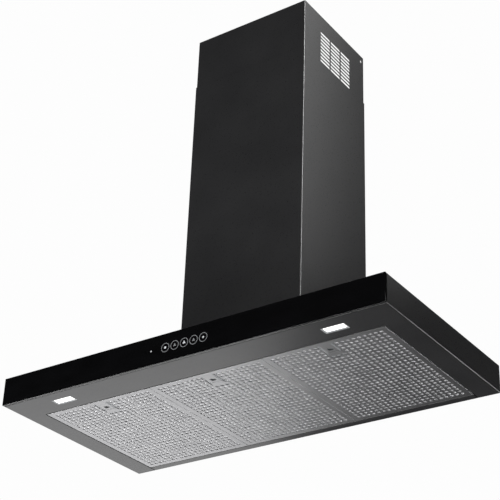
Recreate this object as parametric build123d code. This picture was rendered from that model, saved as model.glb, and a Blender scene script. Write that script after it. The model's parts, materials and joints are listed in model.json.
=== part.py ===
from build123d import *
import math
import os

# Wall-mounted chimney hood, in millimetres. The wall is the plane y = 0, the front faces -Y, +Z is up,
# and the canopy's underside is z = 0.

# canopy
SHEET = 0.8
CUT = 1.0          # how far a cutting block runs past the face it opens
WIDTH, DEPTH, HEIGHT = 898.0, 450.0, 60.0
GLASS_T, TAPE_T = 4.0, 1.0
SHELL_FRONT = -(DEPTH - GLASS_T - TAPE_T)
FIELD_W, FIELD_FRONT = 800.0, -368.0
PANEL_FLANGE = 10.0

# grease filters
FILTER_COUNT = 3
FILTER_PITCH = FIELD_W / FILTER_COUNT
FILTER_GAP = 0.8
FILTER_W = FILTER_PITCH - FILTER_GAP
FILTER_Z0, FILTER_T = 0.2, 9.0
FILTER_FRONT, FILTER_BACK = FIELD_FRONT + 0.9, -19.8
HINGE_Y, HINGE_Z, LIP_R = -17.6, 1.2, 1.2
HOOK_X, HOOK_W, HOOK_T = 80.0, 30.0, 1.0
BACK_T, MESH_T, MESH_LAYERS, MESH_STEP = 0.5, 0.5, 3, 2.2
LATCH_W, LATCH_L, LATCH_FRONT = 24.0, 32.0, -356.0
BOLT_W, BOLT_T, BOLT_Z, BOLT_REACH, SPRING_L = 18.0, 2.0, 4.8, 6.0, 22.0
POCKET_BACK = -304.0

# lamps and touch controls
LAMP_X, LAMP_Y, LAMP_W, LAMP_D = 319.5, -405.7, 47.0, 19.0
LAMP_RIM = 1.5
BOARD_X0, BOARD_X1, BOARD_Z0, BOARD_Z1, BOARD_T = -84.0, 76.0, 18.0, 46.0, 1.6
INDICATOR_X, INDICATOR_Z = -66.0, 30.0

# chimney covers
LOWER_W, LOWER_D, LOWER_TOP = 298.0, 258.5, 800.0
COVER_GAP, BEND_R = 0.5, 3.0
UPPER_W, UPPER_FRONT = LOWER_W - 2 * (SHEET + COVER_GAP), -(LOWER_D - SHEET - COVER_GAP)
UPPER_BACK = -(SHEET + COVER_GAP)
UPPER_BOTTOM, UPPER_TOP = 480.0, 930.0
REAR_RETURN, FOOT_FLANGE = 5.0, 10.0
VENT_COLS, VENT_ROWS, VENT_L, VENT_H = 3, 9, 40.0, 6.0
VENT_PITCH_Y, VENT_PITCH_Z, VENT_TOP = 43.3, 9.58, 44.6
VENT_MID_Y = -127.0
SIDE_HOLE_R, SIDE_HOLE_Y, SIDE_HOLE_DROP = 3.25, -12.0, 15.8

# blower, in its box on top of the canopy
BOX_X, BOX_FRONT, BOX_BACK, BOX_TOP, BOX_FLANGE = 125.0, -236.0, -14.0, 330.0, 10.0
INTAKE_X, INTAKE_FRONT, INTAKE_BACK = 105.0, -220.0, -30.0
AXIS_Y, AXIS_Z = -147.0, 162.0
VOLUTE_R, VOLUTE_STEP, VOLUTE_WALL, VOLUTE_HALF = 80.0, 8.0, 2.5, 52.0
TONGUE_DEG = 65.0
WHEEL_R, BLADE_DEPTH, BLADE_COUNT, BLADE_TILT = 70.0, 12.0, 30, 32.0
WHEEL_X0, WHEEL_X1 = -44.0, 36.0
SHAFT_R, SHAFT_FIT, INLET_R, HUB_R = 4.0, 0.05, 56.0, 12.0
MOTOR_PLATE_X, MOTOR_PLATE_T, MOTOR_R, MOTOR_X1 = 60.0, 1.5, 46.0, 115.0

# duct collar and non-return flaps
COLLAR_Y, COLLAR_R, COLLAR_WALL, COLLAR_H, COLLAR_FLANGE_R = -100.0, 75.0, 2.0, 45.0, 84.0
ROD_R, ROD_OFFSET, ROD_FIT, FLAP_R, FLAP_T = 1.5, 5.0, 0.08, 70.5, 1.2
FLAP_Z = BOX_TOP + 16.0

# electronics box beside the collar
CBOX_X0, CBOX_X1, CBOX_Y0, CBOX_Y1, CBOX_H, CBOX_WALL = 87.0, 123.0, -226.0, -26.0, 58.0, 2.0
GLAND_R, GLAND_Y = 4.0, -50.0


def block(x0, x1, y0, y1, z0, z1):
    """A box from its low and high sides."""
    return Pos((x0 + x1) / 2, (y0 + y1) / 2, (z0 + z1) / 2) * Box(x1 - x0, y1 - y0, z1 - z0)


def rod_x(radius, x0, x1, y, z):
    return Pos((x0 + x1) / 2, y, z) * Rot(0, 90, 0) * Cylinder(radius, x1 - x0)


def rod_y(radius, y0, y1, x, z):
    return Pos(x, (y0 + y1) / 2, z) * Rot(90, 0, 0) * Cylinder(radius, y1 - y0)


def rod_z(radius, z0, z1, x, y):
    return Pos(x, y, (z0 + z1) / 2) * Cylinder(radius, z1 - z0)


def write(name, *pieces):
    """Write one node: a single solid, or a group of separate ones."""
    solids = [solid for piece in pieces for solid in piece.solids()]
    shape = solids[0] if len(solids) == 1 else Compound(children=solids)
    export_step(shape, f"parts/{name}.step")


# places shared by a screw and the hole it goes through
PANEL_SCREW_X, PANEL_SCREW_Z = (-420.0, -200.0, 200.0, 420.0), 7.0
COVER_SCREW_AT = [(x, y) for x in (-143.0, 143.0) for y in (-60.0, -200.0)]
BOX_SCREW_AT = [(x, y) for x in (-130.0, 130.0) for y in (-40.0, -125.0, -210.0)]
COLLAR_SCREW_RING = 80.2
COLLAR_SCREW_AT = [(COLLAR_SCREW_RING * math.cos(a), COLLAR_Y + COLLAR_SCREW_RING * math.sin(a))
                   for a in (math.radians(45 + 90 * i) for i in range(4))]
HANGER_X, HANGER_Z, HANGER_HOLE_R = 160.0, 38.0, 4.0
SCREW_R, SCREW_HOLE_R, HEAD_R, HEAD_T, SCREW_GRIP = 1.9, 2.05, 3.6, 2.2, 3.5


def screw_up(x, y, z_seat, grip):
    """A pan-head screw whose head lies under z_seat and whose shank goes up."""
    return rod_z(HEAD_R, z_seat - HEAD_T, z_seat, x, y) + rod_z(SCREW_R, z_seat, z_seat + grip, x, y)


def screw_down(x, y, z_seat, grip):
    return rod_z(HEAD_R, z_seat, z_seat + HEAD_T, x, y) + rod_z(SCREW_R, z_seat - grip, z_seat, x, y)


def canopy_shell():
    half = WIDTH / 2
    shell = block(-half, half, SHELL_FRONT, 0, 0, HEIGHT)
    shell -= block(-half + SHEET, half - SHEET, SHELL_FRONT + SHEET, -SHEET, -1, HEIGHT - SHEET)
    shell -= block(-INTAKE_X, INTAKE_X, INTAKE_FRONT, INTAKE_BACK, HEIGHT - 2, HEIGHT + 2)
    shell -= block(BOARD_X0 - 1, BOARD_X1 + 1, SHELL_FRONT - 1, SHELL_FRONT + 2, BOARD_Z0 - 1, BOARD_Z1 + 1)
    for x in (-HANGER_X, HANGER_X):
        shell -= rod_y(HANGER_HOLE_R, -2, 2, x, HANGER_Z)
    for x, y in COVER_SCREW_AT + BOX_SCREW_AT:
        shell -= rod_z(SCREW_HOLE_R, HEIGHT - 2, HEIGHT + 2, x, y)
    for x in PANEL_SCREW_X:
        shell -= rod_y(SCREW_HOLE_R, SHELL_FRONT - CUT, SHELL_FRONT + 2, x, PANEL_SCREW_Z)
    write("canopy_shell", shell)


def underside_panel():
    """Front strip and two side strips in one sheet, with flanges turned up round the filter opening."""
    edge, field = WIDTH / 2 - SHEET - 0.2, FIELD_W / 2
    front = SHELL_FRONT + SHEET
    panel = block(-edge, edge, front, -SHEET, 0, SHEET)
    panel -= block(-field, field, FIELD_FRONT, 1, -1, 2)
    panel += block(-field - SHEET, field + SHEET, FIELD_FRONT - SHEET, FIELD_FRONT, 0, PANEL_FLANGE)
    for side in (-1, 1):
        inner, outer = sorted((side * field, side * (field + SHEET)))
        panel += block(inner, outer, FIELD_FRONT - SHEET, -SHEET, 0, PANEL_FLANGE)
        low, high = sorted((side * (edge - SHEET), side * edge))
        panel += block(low, high, front, -SHEET, 0, 1.6 * PANEL_FLANGE)
    panel += block(-edge, edge, front, front + SHEET, 0, 1.4 * PANEL_FLANGE)
    lamp_half_w, lamp_half_d = LAMP_W / 2 + LAMP_RIM + 0.1, LAMP_D / 2 + LAMP_RIM + 0.1
    for x in (-LAMP_X, LAMP_X):
        panel -= block(x - lamp_half_w, x + lamp_half_w, LAMP_Y - lamp_half_d, LAMP_Y + lamp_half_d, -CUT, 2)
    for centre in filter_centres():
        slot_x, slot_z = BOLT_W / 2 + 0.6, BOLT_Z - 0.8
        panel -= block(centre - slot_x, centre + slot_x, FIELD_FRONT - 2, FIELD_FRONT + 1,
                       slot_z, slot_z + BOLT_T + 1.6)
    for x in PANEL_SCREW_X:
        panel -= rod_y(SCREW_HOLE_R, front - CUT, front + 2, x, PANEL_SCREW_Z)
    write("underside_panel", panel)
    write("panel_screws", *[
        rod_y(HEAD_R, front + SHEET, front + SHEET + HEAD_T, x, PANEL_SCREW_Z)
        + rod_y(SCREW_R, SHELL_FRONT - 0.6, front + SHEET, x, PANEL_SCREW_Z) for x in PANEL_SCREW_X])


def rear_rail():
    """The strip behind the filters: a rolled lip in front, its rear edge welded to the back wall."""
    half = FIELD_W / 2 - 0.3
    rail = block(-half, half, HINGE_Y, -SHEET, 0, SHEET)
    write("rear_rail", rail + rod_x(LIP_R, -half, half, HINGE_Y, HINGE_Z))


def front_glass():
    half = WIDTH / 2
    glass = block(-half, half, -DEPTH, -DEPTH + GLASS_T, 0, HEIGHT)
    glass = chamfer(glass.edges().filter_by(Axis.X) + glass.edges().filter_by(Axis.Z), 0.4)
    write("front_glass", glass)
    y0, y1 = -DEPTH + GLASS_T, SHELL_FRONT
    write("glass_tape", block(-half + 9, half - 9, y0, y1, 1, 4.4),
          block(-half + 9, half - 9, y0, y1, 50, 58))


def touch_control():
    y0 = -DEPTH + GLASS_T
    board = block(BOARD_X0, BOARD_X1, y0, y0 + BOARD_T, BOARD_Z0, BOARD_Z1)
    board -= rod_y(1.6, y0 - 1, y0 + 3, INDICATOR_X, INDICATOR_Z)
    write("control_board", board)
    write("indicator_led", rod_y(1.5, y0, y0 + 4, INDICATOR_X, INDICATOR_Z))
    inner = SHELL_FRONT + SHEET
    holder = block(BOARD_X0 - 8, BOARD_X1 + 8, inner, inner + 14, BOARD_Z0 - 4, BOARD_Z1 + 8)
    holder -= block(BOARD_X0 - 6, BOARD_X1 + 6, inner - 1, inner + 12, BOARD_Z0 - 2, BOARD_Z1 + 6)
    for x in (BOARD_X0 + 12, BOARD_X1 - 12):
        holder += rod_y(3, inner, inner + 13, x, (BOARD_Z0 + BOARD_Z1) / 2)
    write("control_board_holder", holder)


def lamps():
    """Each lamp: an open-bottomed housing let into the front strip, its lens, and two spring clips."""
    clips = []
    for name, x in (("left", -LAMP_X), ("right", LAMP_X)):
        half_w, half_d = LAMP_W / 2, LAMP_D / 2
        outer_w, outer_d = half_w + LAMP_RIM, half_d + LAMP_RIM
        body = block(x - outer_w, x + outer_w, LAMP_Y - outer_d, LAMP_Y + outer_d, 0, 16)
        body -= block(x - half_w - 0.1, x + half_w + 0.1,
                      LAMP_Y - half_d - 0.1, LAMP_Y + half_d + 0.1, -1, 14)
        write(f"lamp_{name}_housing", body)
        lens = block(x - half_w, x + half_w, LAMP_Y - half_d, LAMP_Y + half_d, 0.1, 3)
        write(f"lamp_{name}_lens", chamfer(lens.faces().sort_by(Axis.Z)[0].edges(), 0.4))
        for side in (-1, 1):
            near = x + side * outer_w
            x0, x1 = sorted((near, near + side * 1.0))
            foot0, foot1 = sorted((near, near + side * 9.0))
            clips.append(block(x0, x1, LAMP_Y - 5, LAMP_Y + 5, SHEET, 12)
                         + block(foot0, foot1, LAMP_Y - 5, LAMP_Y + 5, SHEET, SHEET + 0.8))
    write("lamp_clips", *clips)
    driver = block(100, 190, LAMP_Y - 20, LAMP_Y + 18, SHEET, 24)
    write("lamp_driver", fillet(driver.edges().filter_by(Axis.Z), 4))


def filter_centres():
    return [(i - (FILTER_COUNT - 1) / 2) * FILTER_PITCH for i in range(FILTER_COUNT)]


def grease_filter(name, centre):
    """A folded tray with mesh inside it, a back sheet with two hooks, and a spring latch in front."""
    half, z1 = FILTER_W / 2, FILTER_Z0 + FILTER_T
    x0, x1 = centre - half, centre + half
    tray = block(x0, x1, FILTER_FRONT, FILTER_BACK, FILTER_Z0, z1 - BACK_T)
    tray -= block(x0 + SHEET, x1 - SHEET, FILTER_FRONT + SHEET, FILTER_BACK - SHEET,
                  FILTER_Z0 + SHEET, z1 + 1)
    pocket_x, pocket_y = LATCH_W / 2, LATCH_FRONT + LATCH_L
    tray -= block(centre - pocket_x, centre + pocket_x, LATCH_FRONT, pocket_y, -1, FILTER_Z0 + 2)
    bolt_slot = block(centre - BOLT_W / 2 - 0.5, centre + BOLT_W / 2 + 0.5,
                      FILTER_FRONT - 1, FILTER_FRONT + 4,
                      BOLT_Z - 0.5, BOLT_Z + BOLT_T + 0.5)
    write(f"{name}_tray", tray - bolt_slot)

    back = block(x0, x1, FILTER_FRONT, FILTER_BACK, z1 - BACK_T, z1)
    for side in (-1, 1):
        hook0, hook1 = centre + side * HOOK_X - HOOK_W / 2, centre + side * HOOK_X + HOOK_W / 2
        low = HINGE_Z + LIP_R + 0.4
        back += block(hook0, hook1, FILTER_BACK, FILTER_BACK + HOOK_T, low, z1)
        back += block(hook0, hook1, FILTER_BACK, HINGE_Y + 6, low, low + HOOK_T)
    write(f"{name}_back", back)

    pocket_half, margin = pocket_x + 2, SHEET + 0.2
    layers = []
    for i in range(MESH_LAYERS):
        low = FILTER_Z0 + SHEET + 0.8 + i * MESH_STEP
        layer = block(x0 + margin, x1 - margin, FILTER_FRONT + margin, FILTER_BACK - margin,
                      low, low + MESH_T)
        layers.append(layer - block(centre - pocket_half - 0.5, centre + pocket_half + 0.5,
                                    FILTER_FRONT, POCKET_BACK + 0.5, 0, z1))
    write(f"{name}_mesh", *layers)
    latch(name, centre, pocket_half, z1 - BACK_T)


def latch(name, centre, pocket_half, top):
    """A bolt that a spring pushes forward through the filter's front wall, with a finger lip."""
    inside, face = FILTER_FRONT + SHEET, FILTER_Z0 + SHEET
    channel = BOLT_W / 2 + 0.5
    pocket = block(centre - pocket_half, centre + pocket_half, inside, POCKET_BACK, face, top)
    pocket -= block(centre - channel, centre + channel, inside - 1, POCKET_BACK - 1.2,
                    BOLT_Z - 0.5, BOLT_Z + BOLT_T + 0.5)
    pocket -= block(centre - LATCH_W / 2 + 1, centre + LATCH_W / 2 - 1, LATCH_FRONT + 1,
                    LATCH_FRONT + LATCH_L - 1, face - 1, BOLT_Z)
    write(f"{name}_latch_pocket", pocket)

    nose, bolt_back = FIELD_FRONT - BOLT_REACH, POCKET_BACK - 1.2 - SPRING_L
    lip_y = LATCH_FRONT + LATCH_L / 2
    bolt = block(centre - BOLT_W / 2, centre + BOLT_W / 2, nose, bolt_back, BOLT_Z, BOLT_Z + BOLT_T)
    bolt += block(centre - BOLT_W / 2, centre + BOLT_W / 2, lip_y, lip_y + 1.2, face, BOLT_Z)
    write(f"{name}_latch", bolt)
    coil = rod_y(0.9, bolt_back + 0.1, POCKET_BACK - 1.3, centre, BOLT_Z + BOLT_T / 2)
    write(f"{name}_latch_spring", coil)


def cover_walls(width, front, back, z0, z1):
    """A sheet bent round three sides, with narrow returns along its rear edges."""
    half = width / 2
    walls = block(-half, half, front, back, z0, z1)
    walls = fillet(walls.edges().filter_by(Axis.Z).sort_by(Axis.Y)[:2], BEND_R)
    inside = block(-half + SHEET, half - SHEET, front + SHEET, back + CUT, z0 - CUT, z1 + CUT)
    walls -= fillet(inside.edges().filter_by(Axis.Z).sort_by(Axis.Y)[:2], BEND_R - SHEET)
    for side in (-1, 1):
        x0, x1 = sorted((side * (half - REAR_RETURN), side * (half - SHEET)))
        walls += block(x0, x1, back - SHEET, back, z0, z1)
    return walls


def lower_cover():
    cover = cover_walls(LOWER_W, -LOWER_D, 0, HEIGHT, LOWER_TOP)
    inner, front = LOWER_W / 2 - SHEET, -LOWER_D + SHEET
    for side in (-1, 1):
        x0, x1 = sorted((side * inner, side * (inner - FOOT_FLANGE)))
        cover += block(x0, x1, front + BEND_R, -SHEET, HEIGHT, HEIGHT + SHEET)
    corner = inner - BEND_R
    cover += block(-corner, corner, front, front + FOOT_FLANGE, HEIGHT, HEIGHT + SHEET)
    for x, y in COVER_SCREW_AT:
        cover -= rod_z(SCREW_HOLE_R, HEIGHT - 1, HEIGHT + 2, x, y)
    write("lower_cover", cover)


def upper_cover():
    """Telescopes in the lower cover. Rows of vent slots and one screw hole go through both side walls."""
    cover = cover_walls(UPPER_W, UPPER_FRONT, UPPER_BACK, UPPER_BOTTOM, UPPER_TOP)
    half = UPPER_W / 2
    slot = Rot(0, 90, 0) * extrude(SlotOverall(VENT_L, VENT_H, rotation=90), 2 * half + 4, both=True)
    slots = [Pos(0, VENT_MID_Y + (col - (VENT_COLS - 1) / 2) * VENT_PITCH_Y,
                 UPPER_TOP - VENT_TOP - VENT_H / 2 - row * VENT_PITCH_Z) * slot
             for col in range(VENT_COLS) for row in range(VENT_ROWS)]
    cover = cover.cut(*slots)
    cover -= rod_x(SIDE_HOLE_R, -half - 1, half + 1, SIDE_HOLE_Y, UPPER_TOP - SIDE_HOLE_DROP)
    write("upper_cover", cover)


def air_box():
    box = block(-BOX_X, BOX_X, BOX_FRONT, BOX_BACK, HEIGHT, BOX_TOP)
    box -= block(-BOX_X + SHEET, BOX_X - SHEET, BOX_FRONT + SHEET, BOX_BACK - SHEET,
                 HEIGHT - 1, BOX_TOP - SHEET)
    flange = block(-BOX_X - BOX_FLANGE, BOX_X + BOX_FLANGE, BOX_FRONT - BOX_FLANGE, BOX_BACK + BOX_FLANGE,
                   HEIGHT, HEIGHT + SHEET)
    box += flange - block(-BOX_X + SHEET, BOX_X - SHEET, BOX_FRONT + SHEET, BOX_BACK - SHEET, 0, 100)
    box -= rod_z(COLLAR_R - COLLAR_WALL, BOX_TOP - 5, BOX_TOP + 5, 0, COLLAR_Y)
    for x, y in COLLAR_SCREW_AT:
        box -= rod_z(SCREW_HOLE_R, BOX_TOP - 3, BOX_TOP + 3, x, y)
    for x, y in BOX_SCREW_AT:
        box -= rod_z(SCREW_HOLE_R, HEIGHT - 1, HEIGHT + 2, x, y)
    write("air_box", box)


def canopy_top_screws():
    """The same screw, from under the canopy's top, holds the lower cover's foot and the air box's flange."""
    write("canopy_top_screws", *[screw_up(x, y, HEIGHT - SHEET, SCREW_GRIP)
                                 for x, y in COVER_SCREW_AT + BOX_SCREW_AT])


def volute_profile(offset):
    """The scroll's outline: three arcs whose centres step round a square, then the straight outlet."""
    s = VOLUTE_STEP / 2
    r1 = VOLUTE_R + offset
    r2, r3 = r1 + VOLUTE_STEP, r1 + 2 * VOLUTE_STEP
    tongue = (-s + r1 * math.cos(math.radians(TONGUE_DEG)), -s + r1 * math.sin(math.radians(TONGUE_DEG)))
    front, bottom, rear = (-s - r1, -s), (s, -s - r2), (s + r3, s)
    mid1 = math.radians((TONGUE_DEG + 180) / 2)
    mouth = BOX_TOP - SHEET - AXIS_Z
    lines = [
        ThreePointArc(tongue, (-s + r1 * math.cos(mid1), -s + r1 * math.sin(mid1)), front),
        ThreePointArc(front, (s - r2 * math.sqrt(0.5), -s - r2 * math.sqrt(0.5)), bottom),
        ThreePointArc(bottom, (s + r3 * math.sqrt(0.5), s - r3 * math.sqrt(0.5)), rear),
        Line(rear, (rear[0], mouth)),
        Line((rear[0], mouth), (tongue[0], mouth)),
        Line((tongue[0], mouth), tongue),
    ]
    return make_face(Wire(lines))


def volute_solid(offset, x0, x1):
    """The outline stood up in the YZ plane and run from x0 to x1."""
    plane = Plane(origin=(x0, AXIS_Y, AXIS_Z), x_dir=(0, 1, 0), z_dir=(1, 0, 0))
    return extrude(plane * volute_profile(offset), x1 - x0)


def scroll_housing():
    """Two moulded halves that meet in the middle, screwed together through bosses on their rims."""
    bosses = [(a, VOLUTE_R + VOLUTE_STEP * k + VOLUTE_WALL + 3.5) for a, k in ((140, 0), (225, 1), (315, 2))]
    places = [(AXIS_Y + r * math.cos(math.radians(a)), AXIS_Z + r * math.sin(math.radians(a)))
              for a, r in bosses]
    outer = VOLUTE_HALF + VOLUTE_WALL
    for name, side in (("left", -1), ("right", 1)):
        x0, x1 = sorted((0, side * outer))
        i0, i1 = sorted((0, side * VOLUTE_HALF))
        half = volute_solid(VOLUTE_WALL, x0, x1)
        for y, z in places:
            half += rod_x(5, *sorted((0, side * 12)), y, z)
        half -= volute_solid(0, i0, i1)
        for y, z in places:
            half -= rod_x(1.9, -20, 20, y, z)
        hole = INLET_R if side < 0 else HUB_R + 8
        half -= rod_x(hole, x0 - 1, x1 + 1, AXIS_Y, AXIS_Z) & block(
            *sorted((side * (outer + 1), side * (VOLUTE_HALF - 1))), -300, 0, 0, 400)
        write(f"scroll_{name}_half", half)
    write("scroll_screws", *[rod_x(1.8, -11.9, 12, y, z) + rod_x(3.2, 12, 14.4, y, z) for y, z in places])


def inlet_grille():
    """Finger guard over the scroll's inlet: a ring, two hoops and a cross."""
    x0, x1 = -(VOLUTE_HALF + VOLUTE_WALL) - 2, -(VOLUTE_HALF + VOLUTE_WALL)
    guard = rod_x(INLET_R + 6, x0, x1, AXIS_Y, AXIS_Z) - rod_x(INLET_R, x0 - 1, x1 + 1, AXIS_Y, AXIS_Z)
    for radius in (14, 28, 42):
        guard += (rod_x(radius + 1, x0, x1, AXIS_Y, AXIS_Z)
                  - rod_x(radius - 1, x0 - 1, x1 + 1, AXIS_Y, AXIS_Z))
    guard += block(x0, x1, AXIS_Y - INLET_R - 1, AXIS_Y + INLET_R + 1, AXIS_Z - 1, AXIS_Z + 1)
    guard += block(x0, x1, AXIS_Y - 1, AXIS_Y + 1, AXIS_Z - INLET_R - 1, AXIS_Z + INLET_R + 1)
    write("inlet_grille", guard)


def blower_wheel():
    """Back plate with its hub, a ring of blades between it and the end ring, and the motor's shaft."""
    plate = rod_x(WHEEL_R, WHEEL_X1 - 2, WHEEL_X1, AXIS_Y, AXIS_Z)
    plate += rod_x(HUB_R, WHEEL_X1 - 20, WHEEL_X1 + 6, AXIS_Y, AXIS_Z)
    plate -= rod_x(SHAFT_R, WHEEL_X0, WHEEL_X1 + 10, AXIS_Y, AXIS_Z)
    write("wheel_back_plate", plate)
    inner, ring_x1 = WHEEL_R - BLADE_DEPTH, WHEEL_X0 + 3
    write("wheel_end_ring", rod_x(WHEEL_R, WHEEL_X0, ring_x1, AXIS_Y, AXIS_Z)
          - rod_x(inner, WHEEL_X0 - CUT, ring_x1 + CUT, AXIS_Y, AXIS_Z))
    mid_r, low, high = (WHEEL_R + inner) / 2 - 0.4, ring_x1, WHEEL_X1 - 2
    blade = Pos((low + high) / 2, 0, mid_r) * Rot(BLADE_TILT, 0, 0) * Box(high - low, 1.2, BLADE_DEPTH)
    write("wheel_blades", *[Pos(0, AXIS_Y, AXIS_Z) * Rot(360 / BLADE_COUNT * i, 0, 0) * blade
                            for i in range(BLADE_COUNT)])
    write("motor_shaft", rod_x(SHAFT_R, WHEEL_X1 - 22, MOTOR_X1 + 3, AXIS_Y, AXIS_Z))


def motor():
    wall = VOLUTE_HALF + VOLUTE_WALL
    angles = (90, 210, 330)
    spots = [(AXIS_Y + 60 * math.cos(math.radians(a)), AXIS_Z + 60 * math.sin(math.radians(a)))
             for a in angles]
    write("motor_bushes", *[rod_x(6, wall, MOTOR_PLATE_X, y, z) for y, z in spots])
    plate = rod_x(68, MOTOR_PLATE_X, MOTOR_PLATE_X + MOTOR_PLATE_T, AXIS_Y, AXIS_Z)
    plate -= rod_x(18, MOTOR_PLATE_X - 1, MOTOR_PLATE_X + 3, AXIS_Y, AXIS_Z)
    write("motor_plate", plate)
    start = MOTOR_PLATE_X + MOTOR_PLATE_T
    can = rod_x(MOTOR_R, start, MOTOR_X1, AXIS_Y, AXIS_Z)
    can = fillet(can.edges().filter_by(GeomType.CIRCLE), 3)
    can -= rod_x(SHAFT_R + SHAFT_FIT, start - 1, MOTOR_X1 + 1, AXIS_Y, AXIS_Z)
    write("motor_can", can)
    start_capacitor = rod_z(14, 72, 138, 104, -36)
    write("capacitor", fillet(start_capacitor.edges().filter_by(GeomType.CIRCLE), 1.5))


def exhaust_collar():
    """Ring for a 150 mm duct: a screwed flange, a seat for the flaps and a bar between their hinge rods."""
    inner = COLLAR_R - COLLAR_WALL
    top = BOX_TOP + COLLAR_H
    collar = rod_z(COLLAR_R, BOX_TOP, top, 0, COLLAR_Y)
    collar += rod_z(COLLAR_FLANGE_R, BOX_TOP, BOX_TOP + 2, 0, COLLAR_Y)
    collar -= rod_z(inner, BOX_TOP - 1, top + 1, 0, COLLAR_Y)
    seat = rod_z(inner + 0.5, FLAP_Z - 4, FLAP_Z - 1.2, 0, COLLAR_Y)
    collar += seat - rod_z(inner - 5, 0, top, 0, COLLAR_Y)
    collar += block(-inner, inner, COLLAR_Y - 0.9, COLLAR_Y + 0.9, FLAP_Z - 4, FLAP_Z + 3)
    for side in (-1, 1):
        x0, x1 = sorted((side * (inner - 3.5), side * (inner + 0.5)))
        collar += block(x0, x1, COLLAR_Y - 9, COLLAR_Y + 9, FLAP_Z - 4, FLAP_Z + 4)
    for x, y in COLLAR_SCREW_AT:
        collar -= rod_z(SCREW_HOLE_R, BOX_TOP - 1, BOX_TOP + 3, x, y)
    rods = [rod_x(ROD_R, -(inner - 1), inner - 1, COLLAR_Y + side * ROD_OFFSET, FLAP_Z) for side in (-1, 1)]
    for rod in rods:
        collar -= rod
    write("exhaust_collar", collar)
    write("damper_rods", *rods)
    write("collar_screws", *[screw_down(x, y, BOX_TOP + 2, 5) for x, y in COLLAR_SCREW_AT])


def damper_flap(name, side):
    """A half-round flap with two knuckles that turn on its rod."""
    rod_y_at = COLLAR_Y + side * ROD_OFFSET
    flap = rod_z(FLAP_R, FLAP_Z - FLAP_T / 2, FLAP_Z + FLAP_T / 2, 0, COLLAR_Y)
    near, far = sorted((rod_y_at, COLLAR_Y + side * 90))
    flap &= block(-90, 90, near, far, FLAP_Z - 5, FLAP_Z + 5)
    boss = COLLAR_R - COLLAR_WALL - 3.5
    for end in (-1, 1):
        x0, x1 = sorted((end * (boss - 0.5), 90 * end))
        flap -= block(x0, x1, COLLAR_Y - 13, COLLAR_Y + 13, FLAP_Z - 9, FLAP_Z + 9)
        k0, k1 = sorted((end * 22, end * 50))
        flap += rod_x(2.9, k0, k1, rod_y_at, FLAP_Z)
    flap -= rod_x(ROD_R + ROD_FIT, -90, 90, rod_y_at, FLAP_Z)
    write(name, flap)


def control_box():
    """Mains electronics beside the collar, with its lid, board, terminals and an empty cable gland."""
    z0, z1, wall = BOX_TOP, BOX_TOP + CBOX_H, CBOX_WALL
    tub = block(CBOX_X0, CBOX_X1, CBOX_Y0, CBOX_Y1, z0, z1)
    tub -= block(CBOX_X0 + wall, CBOX_X1 - wall, CBOX_Y0 + wall, CBOX_Y1 - wall, z0 + wall, z1 + 1)
    write("control_box", tub)
    mid = (CBOX_X0 + CBOX_X1) / 2
    lid = block(CBOX_X0, CBOX_X1, CBOX_Y0, CBOX_Y1, z1, z1 + wall)
    lid -= rod_z(7, z1 - 1, z1 + 5, mid, GLAND_Y)
    write("control_box_lid", lid)
    board = block(CBOX_X0 + wall + 1, CBOX_X0 + wall + 2.6, CBOX_Y0 + 8, CBOX_Y1 - 50, z0 + 6, z1 - 6)
    for i in range(4):
        y = CBOX_Y0 + 24 + 32 * i
        board += block(CBOX_X0 + wall + 2.6, CBOX_X0 + wall + 16, y, y + 18, z0 + 14, z0 + 34)
    write("power_board", board)
    block_z = z0 + wall
    terminal = block(mid - 9, mid + 9, CBOX_Y1 - 42, CBOX_Y1 - 8, block_z, block_z + 16)
    for i in range(3):
        terminal -= rod_z(2.2, block_z + 6, block_z + 20, mid, CBOX_Y1 - 35 + 10 * i)
    write("terminal_block", terminal)
    gland = rod_z(6.9, z1 - 4, z1 + wall + 4, mid, GLAND_Y)
    gland += Pos(mid, GLAND_Y, z1 + wall) * extrude(RegularPolygon(11, 6), 7)
    gland += Pos(mid, GLAND_Y, z1 + wall + 7) * extrude(RegularPolygon(9.4, 6, rotation=15), 9)
    gland -= rod_z(GLAND_R, z1 - 10, z1 + 40, mid, GLAND_Y)
    write("cable_gland", gland)


def hanger_plates():
    """Steel plates behind the back wall that take the wall hooks."""
    plates = []
    for x in (-HANGER_X, HANGER_X):
        plate = block(x - 24, x + 24, -SHEET - 2, -SHEET, 24.2, 54)
        plates.append(plate - rod_y(HANGER_HOLE_R, -10, 2, x, HANGER_Z))
    write("hanger_plates", *plates)


def main():
    os.makedirs("parts", exist_ok=True)
    canopy_shell()
    underside_panel()
    rear_rail()
    front_glass()
    touch_control()
    lamps()
    for name, centre in zip(("filter_left", "filter_middle", "filter_right"), filter_centres()):
        grease_filter(name, centre)
    lower_cover()
    upper_cover()
    air_box()
    canopy_top_screws()
    scroll_housing()
    inlet_grille()
    blower_wheel()
    motor()
    exhaust_collar()
    damper_flap("damper_front", -1)
    damper_flap("damper_rear", 1)
    control_box()
    hanger_plates()


main()
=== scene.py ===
import json
import math

import bpy
from mathutils import Matrix, Vector


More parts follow.
